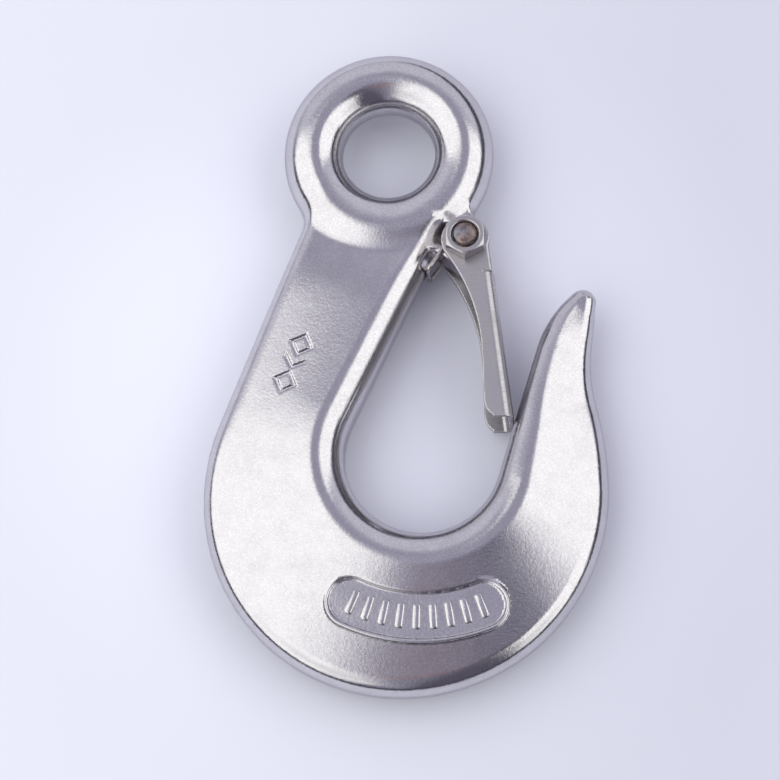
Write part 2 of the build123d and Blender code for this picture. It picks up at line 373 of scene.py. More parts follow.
@dataclass(frozen=True)
class DrawnWire(Finish):
    """Bright drawn spring wire, with die lines along it."""

    name: str = "drawn_wire"
    bright: Colour = (0.64, 0.60, 0.575, 1.0)
    dull: Colour = (0.40, 0.36, 0.34, 1.0)
    rough: float = 0.18
    depth: float = 3.0e-6

    def paint(self, graph: Graph) -> None:
        """Mottled sheen with small die marks.

        Args:
            graph: the material's node tree.
        """
        place = graph.place()
        cloud = graph.noise(place, 1300.0, 4.0, 0.6)
        fine = graph.noise(place, 6000.0, 2.0, 0.5)
        colour = graph.mix(cloud.ramp(0.38, 0.7), self.bright, self.dull)
        rough = cloud.ramp(0.3, 0.7) * 0.12 + self.rough
        self.close(graph, colour, rough, fine * 0.6 + cloud * 0.5, self.depth)


# ---------------------------------------------------------------- implicit shapes, in millimetres


def meet(first: Array, second: Array, radius: object) -> Array:
    """Overlap of two distance fields, with an edge of that radius."""
    u, v = np.maximum(first + radius, 0.0), np.maximum(second + radius, 0.0)
    return np.minimum(-radius, np.maximum(first, second)) + np.sqrt(u * u + v * v)


def join(first: Array, second: Array, fillet: float) -> Array:
    """Union of two distance fields, with a fillet of that reach where they meet."""
    share = np.clip(0.5 + 0.5 * (second - first) / fillet, 0.0, 1.0)
    return second * (1 - share) + first * share - fillet * share * (1 - share)


def cut(solid: Array, tool: Array, edge: float) -> Array:
    """A distance field less a tool's field, with a soft edge."""
    return -join(-solid, tool, edge)


def polygon(x: Array, y: Array, corners: Sequence[tuple[float, float]]) -> Array:
    """Signed distance to a polygon in the plane.

    Args:
        x: first coordinate.
        y: second coordinate.
        corners: the polygon's corners in order.

    Returns:
        Distance, negative inside.
    """
    nearest = np.full(np.broadcast(x, y).shape, 1e9)
    inside = np.zeros(nearest.shape, bool)
    for (ax, ay), (bx, by) in zip(corners, [*corners[1:], corners[0]]):
        ex, ey = bx - ax, by - ay
        wx, wy = x - ax, y - ay
        share = np.clip((wx * ex + wy * ey) / (ex * ex + ey * ey), 0.0, 1.0)
        nearest = np.minimum(nearest, (wx - ex * share) ** 2 + (wy - ey * share) ** 2)
        if ey != 0:
            crosses = (ay > y) != (by > y)
            inside ^= crosses & (wx < ex * (y - ay) / ey)
    return np.where(inside, -1.0, 1.0) * np.sqrt(nearest)


def put(name: str, data: bpy.types.ID) -> bpy.types.Object:
    """Puts a mesh, curve or camera into the scene as a new object.

    Args:
        name: the object's name.
        data: its mesh, curve or camera.

    Returns:
        The new object.
    """
    made = bpy.data.objects.new(name, data)
    bpy.context.scene.collection.objects.link(made)
    return made


@dataclass
class Skin:
    """Turns a distance field into a mesh of quads that lie on its zero surface."""

    surface: Field
    steps: tuple[Array, Array, Array]
    reach: float = 0.6

    def build(self, name: str) -> bpy.types.Object:
        """The mesh as an object in metres, with its normals and a measure of its hollows.

        Args:
            name: the object's name.

        Returns:
            The new object.
        """
        points, quads = self._net()
        points, normals = self._settle(points)
        curl = self._hollow(points, normals)
        mesh = bpy.data.meshes.new(name)
        mesh.from_pydata((points * MM).tolist(), [], quads.tolist())
        mesh.update()
        mesh.shade_smooth()
        mesh.normals_split_custom_set_from_vertices(normals.tolist())
        mesh.attributes.new("hollow", "FLOAT", "POINT").data.foreach_set("value", curl.astype(np.float32))
        return put(name, mesh)

    def _net(self) -> tuple[Array, Array]:
        """Cells that the surface crosses, as points and quads.

        Returns:
            The points, and four point numbers for each quad.
        """
        xs, ys, zs = self.steps
        values = self.surface(xs[:, None, None], ys[None, :, None], zs[None, None, :])
        values = np.broadcast_to(values, (len(xs), len(ys), len(zs)))
        shape = np.array(values.shape) - 1
        total = int(np.prod(shape))
        sums, counts = np.zeros((total, 3)), np.zeros(total)
        edges = []
        for axis in range(3):
            low = np.take(values, range(values.shape[axis] - 1), axis)
            high = np.take(values, range(1, values.shape[axis]), axis)
            where = np.argwhere((low < 0) != (high < 0))
            first, last = low[tuple(where.T)], high[tuple(where.T)]
            share = first / (first - last)
            spot = np.stack([self.steps[i][where[:, i]] for i in range(3)], 1)
            ahead = self.steps[axis][where[:, axis] + 1]
            spot[:, axis] += (ahead - spot[:, axis]) * share
            u, v = (axis + 1) % 3, (axis + 2) % 3
            around = []
            for du, dv in ((-1, -1), (0, -1), (0, 0), (-1, 0)):
                cell = where.copy()
                cell[:, u] += du
                cell[:, v] += dv
                index = (cell[:, 0] * shape[1] + cell[:, 1]) * shape[2] + cell[:, 2]
                around.append(index)
                counts += np.bincount(index, minlength=total)
                for i in range(3):
                    sums[:, i] += np.bincount(index, spot[:, i], total)
            ring = np.stack(around, 1)
            edges.append(np.where((first < 0)[:, None], ring, ring[:, ::-1]))
        used = counts > 0
        number = np.cumsum(used) - 1
        return sums[used] / counts[used][:, None], number[np.concatenate(edges)]

    def _slope(self, points: Array) -> Array:
        """Gradient of the field at points, by central differences.

        Args:
            points: points near or on the surface.

        Returns:
            The gradient at each point.
        """
        step = 0.01
        x, y, z = points.T
        return np.stack([
            self.surface(x + step, y, z) - self.surface(x - step, y, z),
            self.surface(x, y + step, z) - self.surface(x, y - step, z),
            self.surface(x, y, z + step) - self.surface(x, y, z - step),
        ], 1) / (2 * step)

    def _settle(self, points: Array) -> tuple[Array, Array]:
        """Moves points on to the surface and returns them with their normals.

        Args:
            points: points near or on the surface.

        Returns:
            The moved points and their unit normals.
        """
        limit = 0.5 * float(min(np.diff(s).max() for s in self.steps))
        for _ in range(4):
            slope = self._slope(points)
            level = self.surface(*points.T)
            move = -(level / np.maximum((slope**2).sum(1), 1e-6))[:, None] * slope
            size = np.linalg.norm(move, axis=1, keepdims=True)
            points = points + move * np.minimum(1.0, limit / np.maximum(size, 1e-9))
        slope = self._slope(points)
        return points, slope / np.maximum(np.linalg.norm(slope, axis=1, keepdims=True), 1e-9)

    def _hollow(self, points: Array, normals: Array) -> Array:
        """How hollow the surface is at points, from 0 on a flat or crest to 1 in a groove."""
        above = self.surface(*(points + normals * self.reach).T)
        return np.clip((1.0 - above / self.reach) * 1.6, 0.0, 1.0)


def ladder(low: float, high: float, step: float, bands: Sequence[tuple[float, float, float]] = ()) -> Array:
    """Grid lines with finer bands.

    Args:
        low: first line.
        high: last line.
        step: usual spacing.
        bands: low end, high end and spacing of each finer band.

    Returns:
        The lines in order.
    """
    lines, here = [low], low
    while here < high:
        spacing = min([step, *(fine for a, b, fine in bands if a <= here <= b)])
        here += spacing
        lines.append(here)
    return np.array(lines)


# ---------------------------------------------------------------- outlines of lines and arcs


class Stretch:
    """A line or an arc of an outline, with exact distances to it."""

    def __init__(self, start: Array, end: Array, heading: Array | None = None) -> None:
        """A line, or the arc that leaves start along heading and reaches end.

        Args:
            start: first point.
            end: last point.
            heading: direction at the start of an arc; none for a line.
        """
        self.start, self.end = np.asarray(start, float), np.asarray(end, float)
        chord = self.end - self.start
        self.radius = 0.0
        way = chord if heading is None else heading
        self.heading = way / np.linalg.norm(way)
        left = np.array([-self.heading[1], self.heading[0]])
        lean = float(chord @ left)
        if heading is not None and abs(lean) > 1e-6:
            self.radius = float(chord @ chord) / (2 * lean)
            self.centre = self.start + left * self.radius
            self.sweep = 2 * math.atan2(lean, float(chord @ self.heading))
            self.length = abs(self.radius * self.sweep)
            (hx, hy), c, s = self.heading, math.cos(self.sweep), math.sin(self.sweep)
            self.leaving = np.array([c * hx - s * hy, s * hx + c * hy])
        else:
            self.length = float(np.linalg.norm(chord))
            self.leaving = self.heading

    def measure(self, x: Array, y: Array) -> tuple[Array, Array]:
        """Distance to the left of the stretch, and how far along it, from 0 to 1 on it.

        Args:
            x: first coordinate, in millimetres.
            y: second coordinate.

        Returns:
            The distance and the share.
        """
        if self.radius == 0.0:
            dx, dy = x - self.start[0], y - self.start[1]
            along = (dx * self.heading[0] + dy * self.heading[1]) / self.length
            return self.heading[0] * dy - self.heading[1] * dx, along
        dx, dy = x - self.centre[0], y - self.centre[1]
        side = math.copysign(1.0, self.radius)
        first = math.atan2(self.start[1] - self.centre[1], self.start[0] - self.centre[0])
        turned = (np.arctan2(dy, dx) - first) * side
        middle = abs(self.sweep) / 2
        turned = (turned - middle + math.pi) % math.tau - math.pi + middle
        return (abs(self.radius) - np.hypot(dx, dy)) * side, turned / abs(self.sweep)


class Outline:
    """A chain of tangent stretches, in runs that share one scale of shares."""

    def __init__(self, runs: Sequence[Sequence[Stretch]]) -> None:
        """Keeps the runs in order."""
        self.runs = runs

    def measure(self, x: Array, y: Array) -> tuple[Array, Array]:
        """Distance to the left of the outline and the share along it.

        Args:
            x: first coordinate.
            y: second coordinate.

        Returns:
            The distance, and the number of the run plus the share of its length.
        """
        shape = np.broadcast(x, y).shape
        nearest, signed, share = np.full(shape, 1e9), np.zeros(shape), np.zeros(shape)
        last_run = len(self.runs) - 1
        for number, run in enumerate(self.runs):
            total, done = sum(part.length for part in run), 0.0
            for index, part in enumerate(run):
                left, along = part.measure(x, y)
                opens = number == 0 and index == 0
                closes = number == last_run and index == len(run) - 1
                over = np.maximum(0.0 if opens else -along, 0.0 if closes else along - 1)
                off = np.abs(left) + np.maximum(over, 0.0) * part.length * 4.0
                here = off < nearest
                nearest = np.where(here, off, nearest)
                signed = np.where(here, left, signed)
                reached = number + (done + np.clip(along, 0.0, 1.0) * part.length) / total
                share = np.where(here, reached, share)
                done += part.length
        return signed, share


def toward(radius: float, degrees: float) -> Array:
    """The point at a distance and a direction in degrees."""
    return radius * np.array([math.cos(math.radians(degrees)), math.sin(math.radians(degrees))])


@dataclass
class Layout:
    """Where the sub-assemblies meet, in millimetres about the eye's centre."""

    pin: tuple[float, float] = (16.4, -21.3)
    bowl: tuple[float, float] = (7.1, -66.6)
    bowl_radius: float = 16.4
    shank_angle: float = 64.6
    arm_angle: float = 73.1
    arm_straight: float = 29.34
    lug_half: float = 4.2
    side_gap: float = 0.1
    wire: float = 0.5
    coil_gap: float = 0.25
    coil_pitch: float = 1.06
    bolt_radius: float = 2.5
    sheet: float = 1.0
    latch_drop: float = 38.3
    ear_radius: float = 5.1
    latch_gap: float = 0.12
    end_gap: float = 0.08
    bail_drop: float = 5.6
    leg_drop: float = 12.0

    def bowl_point(self, depth: float, degrees: float) -> Array:
        """A point in a direction from the bowl's centre, at a depth past its inner side."""
        return np.array(self.bowl) + toward(self.bowl_radius + depth, degrees)

    @property
    def arm_foot(self) -> Array:
        """Where the bowl's inner side meets the arm's."""
        return self.bowl_point(0.0, self.arm_angle - 90)

    @property
    def shank_foot(self) -> Array:
        """Where the shank's inner side meets the bowl's."""
        return self.bowl_point(0.0, self.shank_angle + 90)

    @property
    def coil_radius(self) -> float:
        """Radius of the coils' middle line."""
        return self.bolt_radius + self.coil_gap + self.wire

    def web_x(self, drop: object) -> object:
        """The latch web's outer face at a drop below the pin, from the pin.

        Args:
            drop: how far below the pin.

        Returns:
            The face's first coordinate.
        """
        foot = self.arm_foot
        tip_y = self.pin[1] - self.latch_drop
        arm_x = foot[0] + (tip_y - foot[1]) / math.tan(math.radians(self.arm_angle))
        tip_x = arm_x - self.latch_gap / math.sin(math.radians(self.arm_angle)) - self.pin[0]
        return self.ear_radius + (tip_x - self.ear_radius) * drop / self.latch_drop

    @property
    def bail(self) -> Array:
        """Wire centre where the spring's loop bears on the shank, from the pin.

        Returns:
            The centre in the plane.
        """
        lean = math.radians(self.shank_angle)
        foot, y = self.shank_foot, self.pin[1] - self.bail_drop
        x = foot[0] + (y - foot[1]) / math.tan(lean) + (self.wire + self.end_gap) / math.sin(lean)
        return np.array([x - self.pin[0], y - self.pin[1]])

    @property
    def leg(self) -> Array:
        """Wire centre at the end of a spring leg, from the pin."""
        return np.array([self.web_x(self.leg_drop) - self.sheet - self.wire - 0.3, -self.leg_drop])

    def meets_coil(self, point: Array, side: int) -> float:
        """Direction in degrees where a wire from a point touches the coil."""
        away = math.degrees(math.atan2(point[1], point[0]))
        return away + side * math.degrees(math.acos(self.coil_radius / float(np.hypot(*point))))

    @property
    def coil_turn(self) -> float:
        """Degrees that each coil runs through."""
        return self.meets_coil(self.bail, -1) % 360 - self.meets_coil(self.leg, 1) % 360 + 360

    @property
    def ear_inner(self) -> float:
        """Height of an ear's inner face."""
        return self.lug_half + 2 * self.side_gap + 2 * self.wire + self.coil_pitch * self.coil_turn / 360


# ---------------------------------------------------------------- hook


class SizeMark(Enum):
    """The two kinds of plain sign in the sunk mark on the shank."""

    LOZENGE = "lozenge"
    WEDGE = "wedge"


@dataclass
class HookBody:
    """The one-piece casting: eye, shank, bowl, arm, point, label pad and latch lug."""

    layout: Layout
    ring_radius: float = 16.1
    ring_bar: float = 6.4
    bore: float = 9.9
    nose: float = 2.6
    neck_x: float = 13.2
    shoulder: tuple[float, float] = (-15.6, -10.2)
    nose_offset: tuple[float, float] = (8.18, 12.15)
    hollow_offset: tuple[float, float] = (11.58, 1.3)
    # Depth past the bowl's inner side and direction of the outer outline's points
    crown: tuple = ((26.72, 170.25), (30.26, 191.62), (34.1, 266.48), (22.83, 350.61), (21.61, 16.19))
    pad_depth: float = 18.2
    pad_half_angle: float = 23.0
    pad_middle: float = -92.0
    pad_width: float = 10.2
    pad_level: float = 6.9
    pad_rim: float = 0.45
    lug_radius: float = 4.6
    lug_lean: float = 32.0
    lug_edge: float = 0.7
    lug_fillet: float = 1.5
    mark_place: tuple[float, float] = (-18.1, -43.6)
    mark_turn: float = 2.5
    mark_depth: float = 0.32
    stroke: float = 0.34
    cell: float = 0.62
    sections: tuple = (
        (0.0, 1.0, 3.7, 1.5, 3.2), (0.35, 0.9, 6.0, 2.4, 3.6), (1.0, 0.8, 7.4, 2.2, 4.0),
        (1.22, 0.8, 7.7, 1.7, 4.0), (1.55, 0.8, 7.9, 1.6, 3.7), (2.0, 0.5, 7.6, 1.0, 3.4),
        (2.42, 0.3, 6.0, 0.8, 2.7), (2.75, 0.3, 4.0, 0.7, 2.5), (3.0, 0.15, 2.2, 0.15, 2.2),
    )
    marks: tuple = (
        (SizeMark.LOZENGE, 0.0, 2.2), (SizeMark.WEDGE, -4.3, 2.0), (SizeMark.LOZENGE, -8.6, 2.2),
    )
    finish: CastSteel = field(default_factory=CastSteel)

    def __post_init__(self) -> None:
        """Lays out the two outlines and smooths the run of the sections."""
        plan = self.layout
        foot = plan.shank_foot
        lean = toward(1.0, plan.shank_angle)
        neck = foot + lean * (self.neck_x - foot[0]) / lean[0]
        self.arm_top = plan.arm_foot + toward(plan.arm_straight, plan.arm_angle)
        nose_start = self.arm_top + np.array(self.nose_offset)
        point = Stretch(self.arm_top, nose_start, toward(1.0, plan.arm_angle))
        self.inner = Outline([
            [Stretch(neck, foot)],
            [Stretch(foot, plan.arm_foot, -lean)],
            [Stretch(plan.arm_foot, self.arm_top), point],
        ])
        run = point.leaving
        self.nose_centre = nose_start + np.array([run[1], -run[0]]) * self.nose
        stops = [plan.bowl_point(*stop) for stop in self.crown]
        stops += [self.arm_top + np.array(self.hollow_offset)]
        stops += [self.nose_centre + np.array([self.nose, 0.0])]
        parts = [Stretch(np.array(self.shoulder), stops[0])]
        for stop in stops[1:]:
            parts.append(Stretch(parts[-1].end, stop, parts[-1].leaving))
        self.outer = Outline([parts[:1], parts[1:4], parts[4:]])
        self.ends = ((neck, parts[0].start), (nose_start, stops[-1]))
        table = np.array(self.sections)
        self.shares = np.linspace(-0.4, 3.4, 1521)
        reach = np.exp(-0.5 * (np.arange(-90, 91) * 0.0025 / 0.07) ** 2)
        rows = [np.interp(self.shares, table[:, 0], column) for column in table[:, 1:].T]
        padded = [np.pad(row, 90, mode="edge") for row in rows]
        self.smooth = [np.convolve(row, reach / reach.sum(), mode="valid") for row in padded]

    def bar(self, x: Array, y: Array, z: Array) -> Array:
        """Distance to the hook's curved bar with its rounded nose.

        Args:
            x: first coordinate, in millimetres.
            y: second coordinate.
            z: third coordinate.

        Returns:
            Distance field of the bar.
        """
        left, near = self.inner.measure(x, y)
        right, far = self.outer.measure(x, y)
        depth, outer = -left, right
        span = np.maximum(np.abs(depth) + np.abs(outer), 1.0)
        mix = np.clip(np.abs(depth) / span, 0.0, 1.0)
        share = near * (1 - mix) + far * mix
        land_in, round_in, land_out, round_out = (np.interp(share, self.shares, row) for row in self.smooth)
        width = depth + outer
        reach = np.maximum(width - round_in - round_out, 2.0)
        slope = (land_out + round_out - land_in - round_in) / reach
        top = land_in + round_in + slope * np.clip(depth - round_in, -round_in, width)
        rise = (np.abs(z) - top) / np.sqrt(1 + slope**2)
        body = np.maximum(meet(-depth, rise, round_in), meet(-outer, rise, round_out))
        above, past = (
            ((x - ax) * (by - ay) - (y - ay) * (bx - ax)) / math.hypot(bx - ax, by - ay)
            for (ax, ay), (bx, by) in self.ends
        )
        body = np.maximum(body, above)
        body = meet(body, self.ring_radius + 0.5 - np.hypot(x, y), 2.0)
        body = np.where(y > -40.0, np.maximum(body, -past), body)
        tip = np.sqrt((x - self.nose_centre[0]) ** 2 + (y - self.nose_centre[1]) ** 2 + z**2) - self.nose
        return join(body, tip, 0.5)

    def eye(self, x: Array, y: Array, z: Array) -> Array:
        """Distance to the eye's round bar."""
        return np.hypot(np.hypot(x, y) - self.ring_radius, z) - self.ring_bar

    def lug(self, x: Array, y: Array, z: Array) -> Array:
        """Distance to the flat lug beside the neck.

        Args:
            x: first coordinate, in millimetres.
            y: second coordinate.
            z: third coordinate.

        Returns:
            Distance field of the lug.
        """
        px, py = self.layout.pin
        pin = np.array(self.layout.pin)
        low = pin + toward(self.lug_radius, 270 - self.lug_lean)
        corners = [
            low + toward(self.lug_radius * 1.8, 180 - self.lug_lean), low, pin,
            pin + toward(self.lug_radius, self.lug_lean),
            toward(self.ring_radius + self.ring_bar * 0.8, -36), toward(self.ring_radius, -50),
        ]
        boss = np.hypot(x - px, y - py) - self.lug_radius
        plan = np.minimum(polygon(x, y, [tuple(c) for c in corners]), boss)
        return meet(plan, np.abs(z) - self.layout.lug_half, self.lug_edge)

    def pad(self, x: Array, y: Array) -> Array:
        """Distance in the plane to the label pad's kidney outline.

        Args:
            x: first coordinate, in millimetres.
            y: second coordinate.

        Returns:
            The distance, negative inside.
        """
        dx, dy = x - self.layout.bowl[0], y - self.layout.bowl[1]
        turn = math.radians(self.pad_middle)
        along = dx * math.cos(turn) + dy * math.sin(turn)
        across = np.abs(-dx * math.sin(turn) + dy * math.cos(turn))
        radius = self.layout.bowl_radius + self.pad_depth
        half = math.radians(self.pad_half_angle)
        past = across * math.cos(half) > along * math.sin(half)
        end = np.hypot(across - radius * math.sin(half), along - radius * math.cos(half))
        return np.where(past, end, np.abs(np.hypot(along, across) - radius)) - self.pad_width / 2

    def mark(self, x: Array, y: Array) -> Array:
        """Distance in the plane to the strokes of the sunk mark.

        Args:
            x: first coordinate, in millimetres.
            y: second coordinate.

        Returns:
            The distance, negative inside a stroke.
        """
        lean = math.radians(self.layout.shank_angle + self.mark_turn)
        dx, dy = x - self.mark_place[0], y - self.mark_place[1]
        down = dx * math.cos(lean) + dy * math.sin(lean)
        side = np.abs(-dx * math.sin(lean) + dy * math.cos(lean))
        strokes = np.full(np.broadcast(x, y).shape, 1e9)
        for kind, place, size in self.marks:
            if kind is SizeMark.LOZENGE:
                line = np.abs((np.abs(down - place) + side) / math.sqrt(2) - size / math.sqrt(2))
            else:
                chevron = np.abs(down - place + 0.9 - side * 0.9) / math.hypot(1.0, 0.9)
                line = np.maximum(chevron, side - size)
            strokes = np.minimum(strokes, line - self.stroke)
        return strokes

    def surface(self, x: Array, y: Array, z: Array) -> Array:
        """Distance to the whole casting.

        Args:
            x: first coordinate, in millimetres.
            y: second coordinate.
            z: third coordinate.

        Returns:
            Distance field of the casting.
        """
        body = join(self.bar(x, y, z), self.eye(x, y, z), 3.2)
        body = cut(body, np.hypot(x, y) - self.bore, 0.35)
        plan = self.pad(x, y)
        lift = z - self.pad_level
        body = join(body, meet(plan, np.maximum(lift, -z), 0.45), 0.5)
        body = cut(body, np.maximum(plan + 0.25, -lift), 0.45)
        body = join(body, np.hypot(plan, lift) - self.pad_rim, 0.35)
        body = join(body, self.lug(x, y, z), self.lug_fillet)
        px, py = self.layout.pin
        body = cut(body, np.hypot(x - px, y - py) - self.layout.bolt_radius - 0.1, 0.15)
        sunk = np.clip((0.22 - self.mark(x, y)) / 0.44, 0.0, 1.0)
        sunk = sunk * sunk * (3 - 2 * sunk)
        return body + np.where(z > 0, self.mark_depth * sunk, 0.0)

    def build(self) -> bpy.types.Object:
        """Meshes the casting and puts it on the hook body.

        Returns:
            The piece.
        """
        steps = (
            ladder(-41.0, 48.5, self.cell, [(-23.8, -12.2, 0.33), (-12.2, 26.5, 0.45)]),
            ladder(-119.0, 24.5, self.cell, [(-109.5, -94.0, 0.34), (-54.5, -40.5, 0.33)]),
            ladder(-10.0, 10.0, 0.58, [(5.2, 9.0, 0.42)]),
        )
        piece = Skin(self.surface, steps).build("hook_casting")
        piece.data.materials.append(self.finish.material())
        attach(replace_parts(piece, "hook_body"), "hook")
        return piece


@dataclass
class PadMarks:
    """The raised plain marks in a row on the label pad."""

    hook: HookBody
    count: int = 9
    spread: float = 45.0
    height: float = 5.2
    width: float = 1.7
    rise: float = 0.48
    sunk: float = 0.25

    def stamp(self) -> bpy.types.Object:
        """One mark: a long lozenge with sloping sides, standing on its middle.

        Returns:
            The mark as an object.
        """
        half_w, half_h = self.width / 2, self.height / 2
        outline = [(0.62, -1.0), (1.0, -0.86), (1.0, 0.86), (0.62, 1.0),
                   (-0.62, 1.0), (-1.0, 0.86), (-1.0, -0.86), (-0.62, -1.0)]
        levels = [(1.25, 1.05, -self.sunk), (1.0, 1.0, self.rise * 0.55), (0.82, 0.965, self.rise * 0.9),
                  (0.5, 0.92, self.rise)]
        points, faces, size = [], [], len(outline)
        for wide, tall, level in levels:
            points += [(x * half_w * wide, y * half_h * tall, level) for x, y in outline]
        for layer in range(len(levels) - 1):
            for i in range(size):
                a, b = layer * size + i, layer * size + (i + 1) % size
                faces.append((a, b, b + size, a + size))
        faces.append(tuple(range(size - 1, -1, -1)))
        faces.append(tuple(range(len(points) - size, len(points))))
        mesh = bpy.data.meshes.new("pad_mark_shape")
        mesh.from_pydata([tuple(c * MM for c in p) for p in points], [], faces)
        mesh.shade_smooth()
        return put("pad_mark_shape", mesh)

    def tree(self, material: bpy.types.Material) -> bpy.types.NodeTree:
        """The node tree that sets the marks along an arc.

        Args:
            material: what they are made of.

        Returns:
            The tree, with inputs Shape, Count, Radius, Middle, Spread, Level and Centre.
        """
        numbers = {name: "Float" for name in ("Radius", "Middle", "Spread", "Level")}
        graph, given = open_tree(
            "marks_along_arc", {"Shape": "Object", "Count": "Int", **numbers, "Centre": "Vector"}
        )
        count, radius, middle, spread = (
            Value(graph, given[name]) for name in ("Count", "Radius", "Middle", "Spread")
        )
        index = graph.number("GeometryNodeInputIndex", {}, {})
        line = graph.node("GeometryNodeMeshLine", {}, {"Count": given["Count"]})
        angle = middle + spread * (index / (count - 1.0) - 0.5)
        along, up = angle.cosine() * radius, angle.sine() * radius
        spot = graph.node("ShaderNodeCombineXYZ", {}, {0: along, 1: up, 2: given["Level"]})
        values = {0: spot.outputs[0], 1: given["Centre"]}
        moved = graph.node("ShaderNodeVectorMath", {"operation": "ADD"}, values)
        values = {"Geometry": line.outputs[0], "Position": moved.outputs[0]}
        placed = graph.node("GeometryNodeSetPosition", {}, values)
        turned = graph.node("ShaderNodeCombineXYZ", {}, {2: angle + math.pi / 2})
        shape = graph.node("GeometryNodeObjectInfo", {}, {"Object": given["Shape"]})
        set_out = graph.node("GeometryNodeInstanceOnPoints", {}, {
            "Points": placed.outputs[0], "Instance": shape.outputs["Geometry"], "Rotation": turned.outputs[0],
        })
        return close_tree(graph, set_out, material)

    def build(self) -> bpy.types.Object:
        """Sets out the marks and puts them on the hook body.

        Returns:
            The piece.
        """
        plan = self.hook.layout
        shape = self.stamp()
        values = {
            "Shape": shape, "Count": self.count,
            "Radius": (plan.bowl_radius + self.hook.pad_depth) * MM,
            "Middle": math.radians(self.hook.pad_middle), "Spread": math.radians(self.spread),
            "Level": self.hook.pad_level * MM, "Centre": (plan.bowl[0] * MM, plan.bowl[1] * MM, 0.0),
        }
        piece = grow("pad_marks", self.tree(self.hook.finish.material()), values)
        bpy.data.objects.remove(shape)
        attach(piece, "hook")
        return piece


def open_tree(name: str, inputs: dict[str, str]) -> tuple[Graph, dict[str, bpy.types.NodeSocket]]:
    """Starts a geometry tree.

    Args:
        name: the tree's name.
        inputs: each input after the geometry, and the end of its socket type.

    Returns:
        The tree as a graph, and its inputs by name.
    """
    tree = bpy.data.node_groups.new(name, "GeometryNodeTree")
    for title, kind in {"Geometry": "Geometry", **inputs}.items():
        tree.interface.new_socket(title, in_out="INPUT", socket_type="NodeSocket" + kind)
    tree.interface.new_socket("Geometry", in_out="OUTPUT", socket_type="NodeSocketGeometry")
    graph = Graph(tree)
    return graph, graph.node("NodeGroupInput").outputs


def close_tree(graph: Graph, shape: bpy.types.Node, material: bpy.types.Material) -> bpy.types.NodeTree:
    """Ends a geometry tree.

    Args:
        graph: the tree.
        shape: the node whose first output is the finished shape.
        material: what it is made of.

    Returns:
        The tree.
    """
    real = graph.node("GeometryNodeRealizeInstances", {}, {0: shape.outputs[0]})
    values = {"Geometry": real.outputs[0], "Material": material}
    dressed = graph.node("GeometryNodeSetMaterial", {}, values)
    graph.node("NodeGroupOutput", {}, {0: dressed.outputs[0]})
    return graph.tree


def grow(
    name: str, tree: bpy.types.NodeTree, values: dict[str, object], base: bpy.types.ID | None = None
) -> bpy.types.Object:
    """Runs a geometry tree and keeps its result as a plain mesh.

    Args:
        name: the piece's name.
        tree: the node tree.
        values: the tree's inputs by name.
        base: the mesh or curve that it starts from; an empty mesh if there is none.

    Returns:
        The new object, with no modifier.
    """
    start = put(name + "_start", base or bpy.data.meshes.new(name + "_start"))
    modifier = start.modifiers.new("grow", "NODES")
    modifier.node_group = tree
    for item in tree.interface.items_tree:
        if getattr(item, "in_out", "") == "INPUT" and item.name in values:
            modifier[item.identifier] = values[item.name]
    bpy.context.view_layer.update()
    evaluated = start.evaluated_get(bpy.context.evaluated_depsgraph_get())
    mesh = bpy.data.meshes.new_from_object(evaluated)
    mesh.name = name
    bpy.data.objects.remove(start)
    return put(name, mesh)


# ---------------------------------------------------------------- latch, bolt, nut and spring


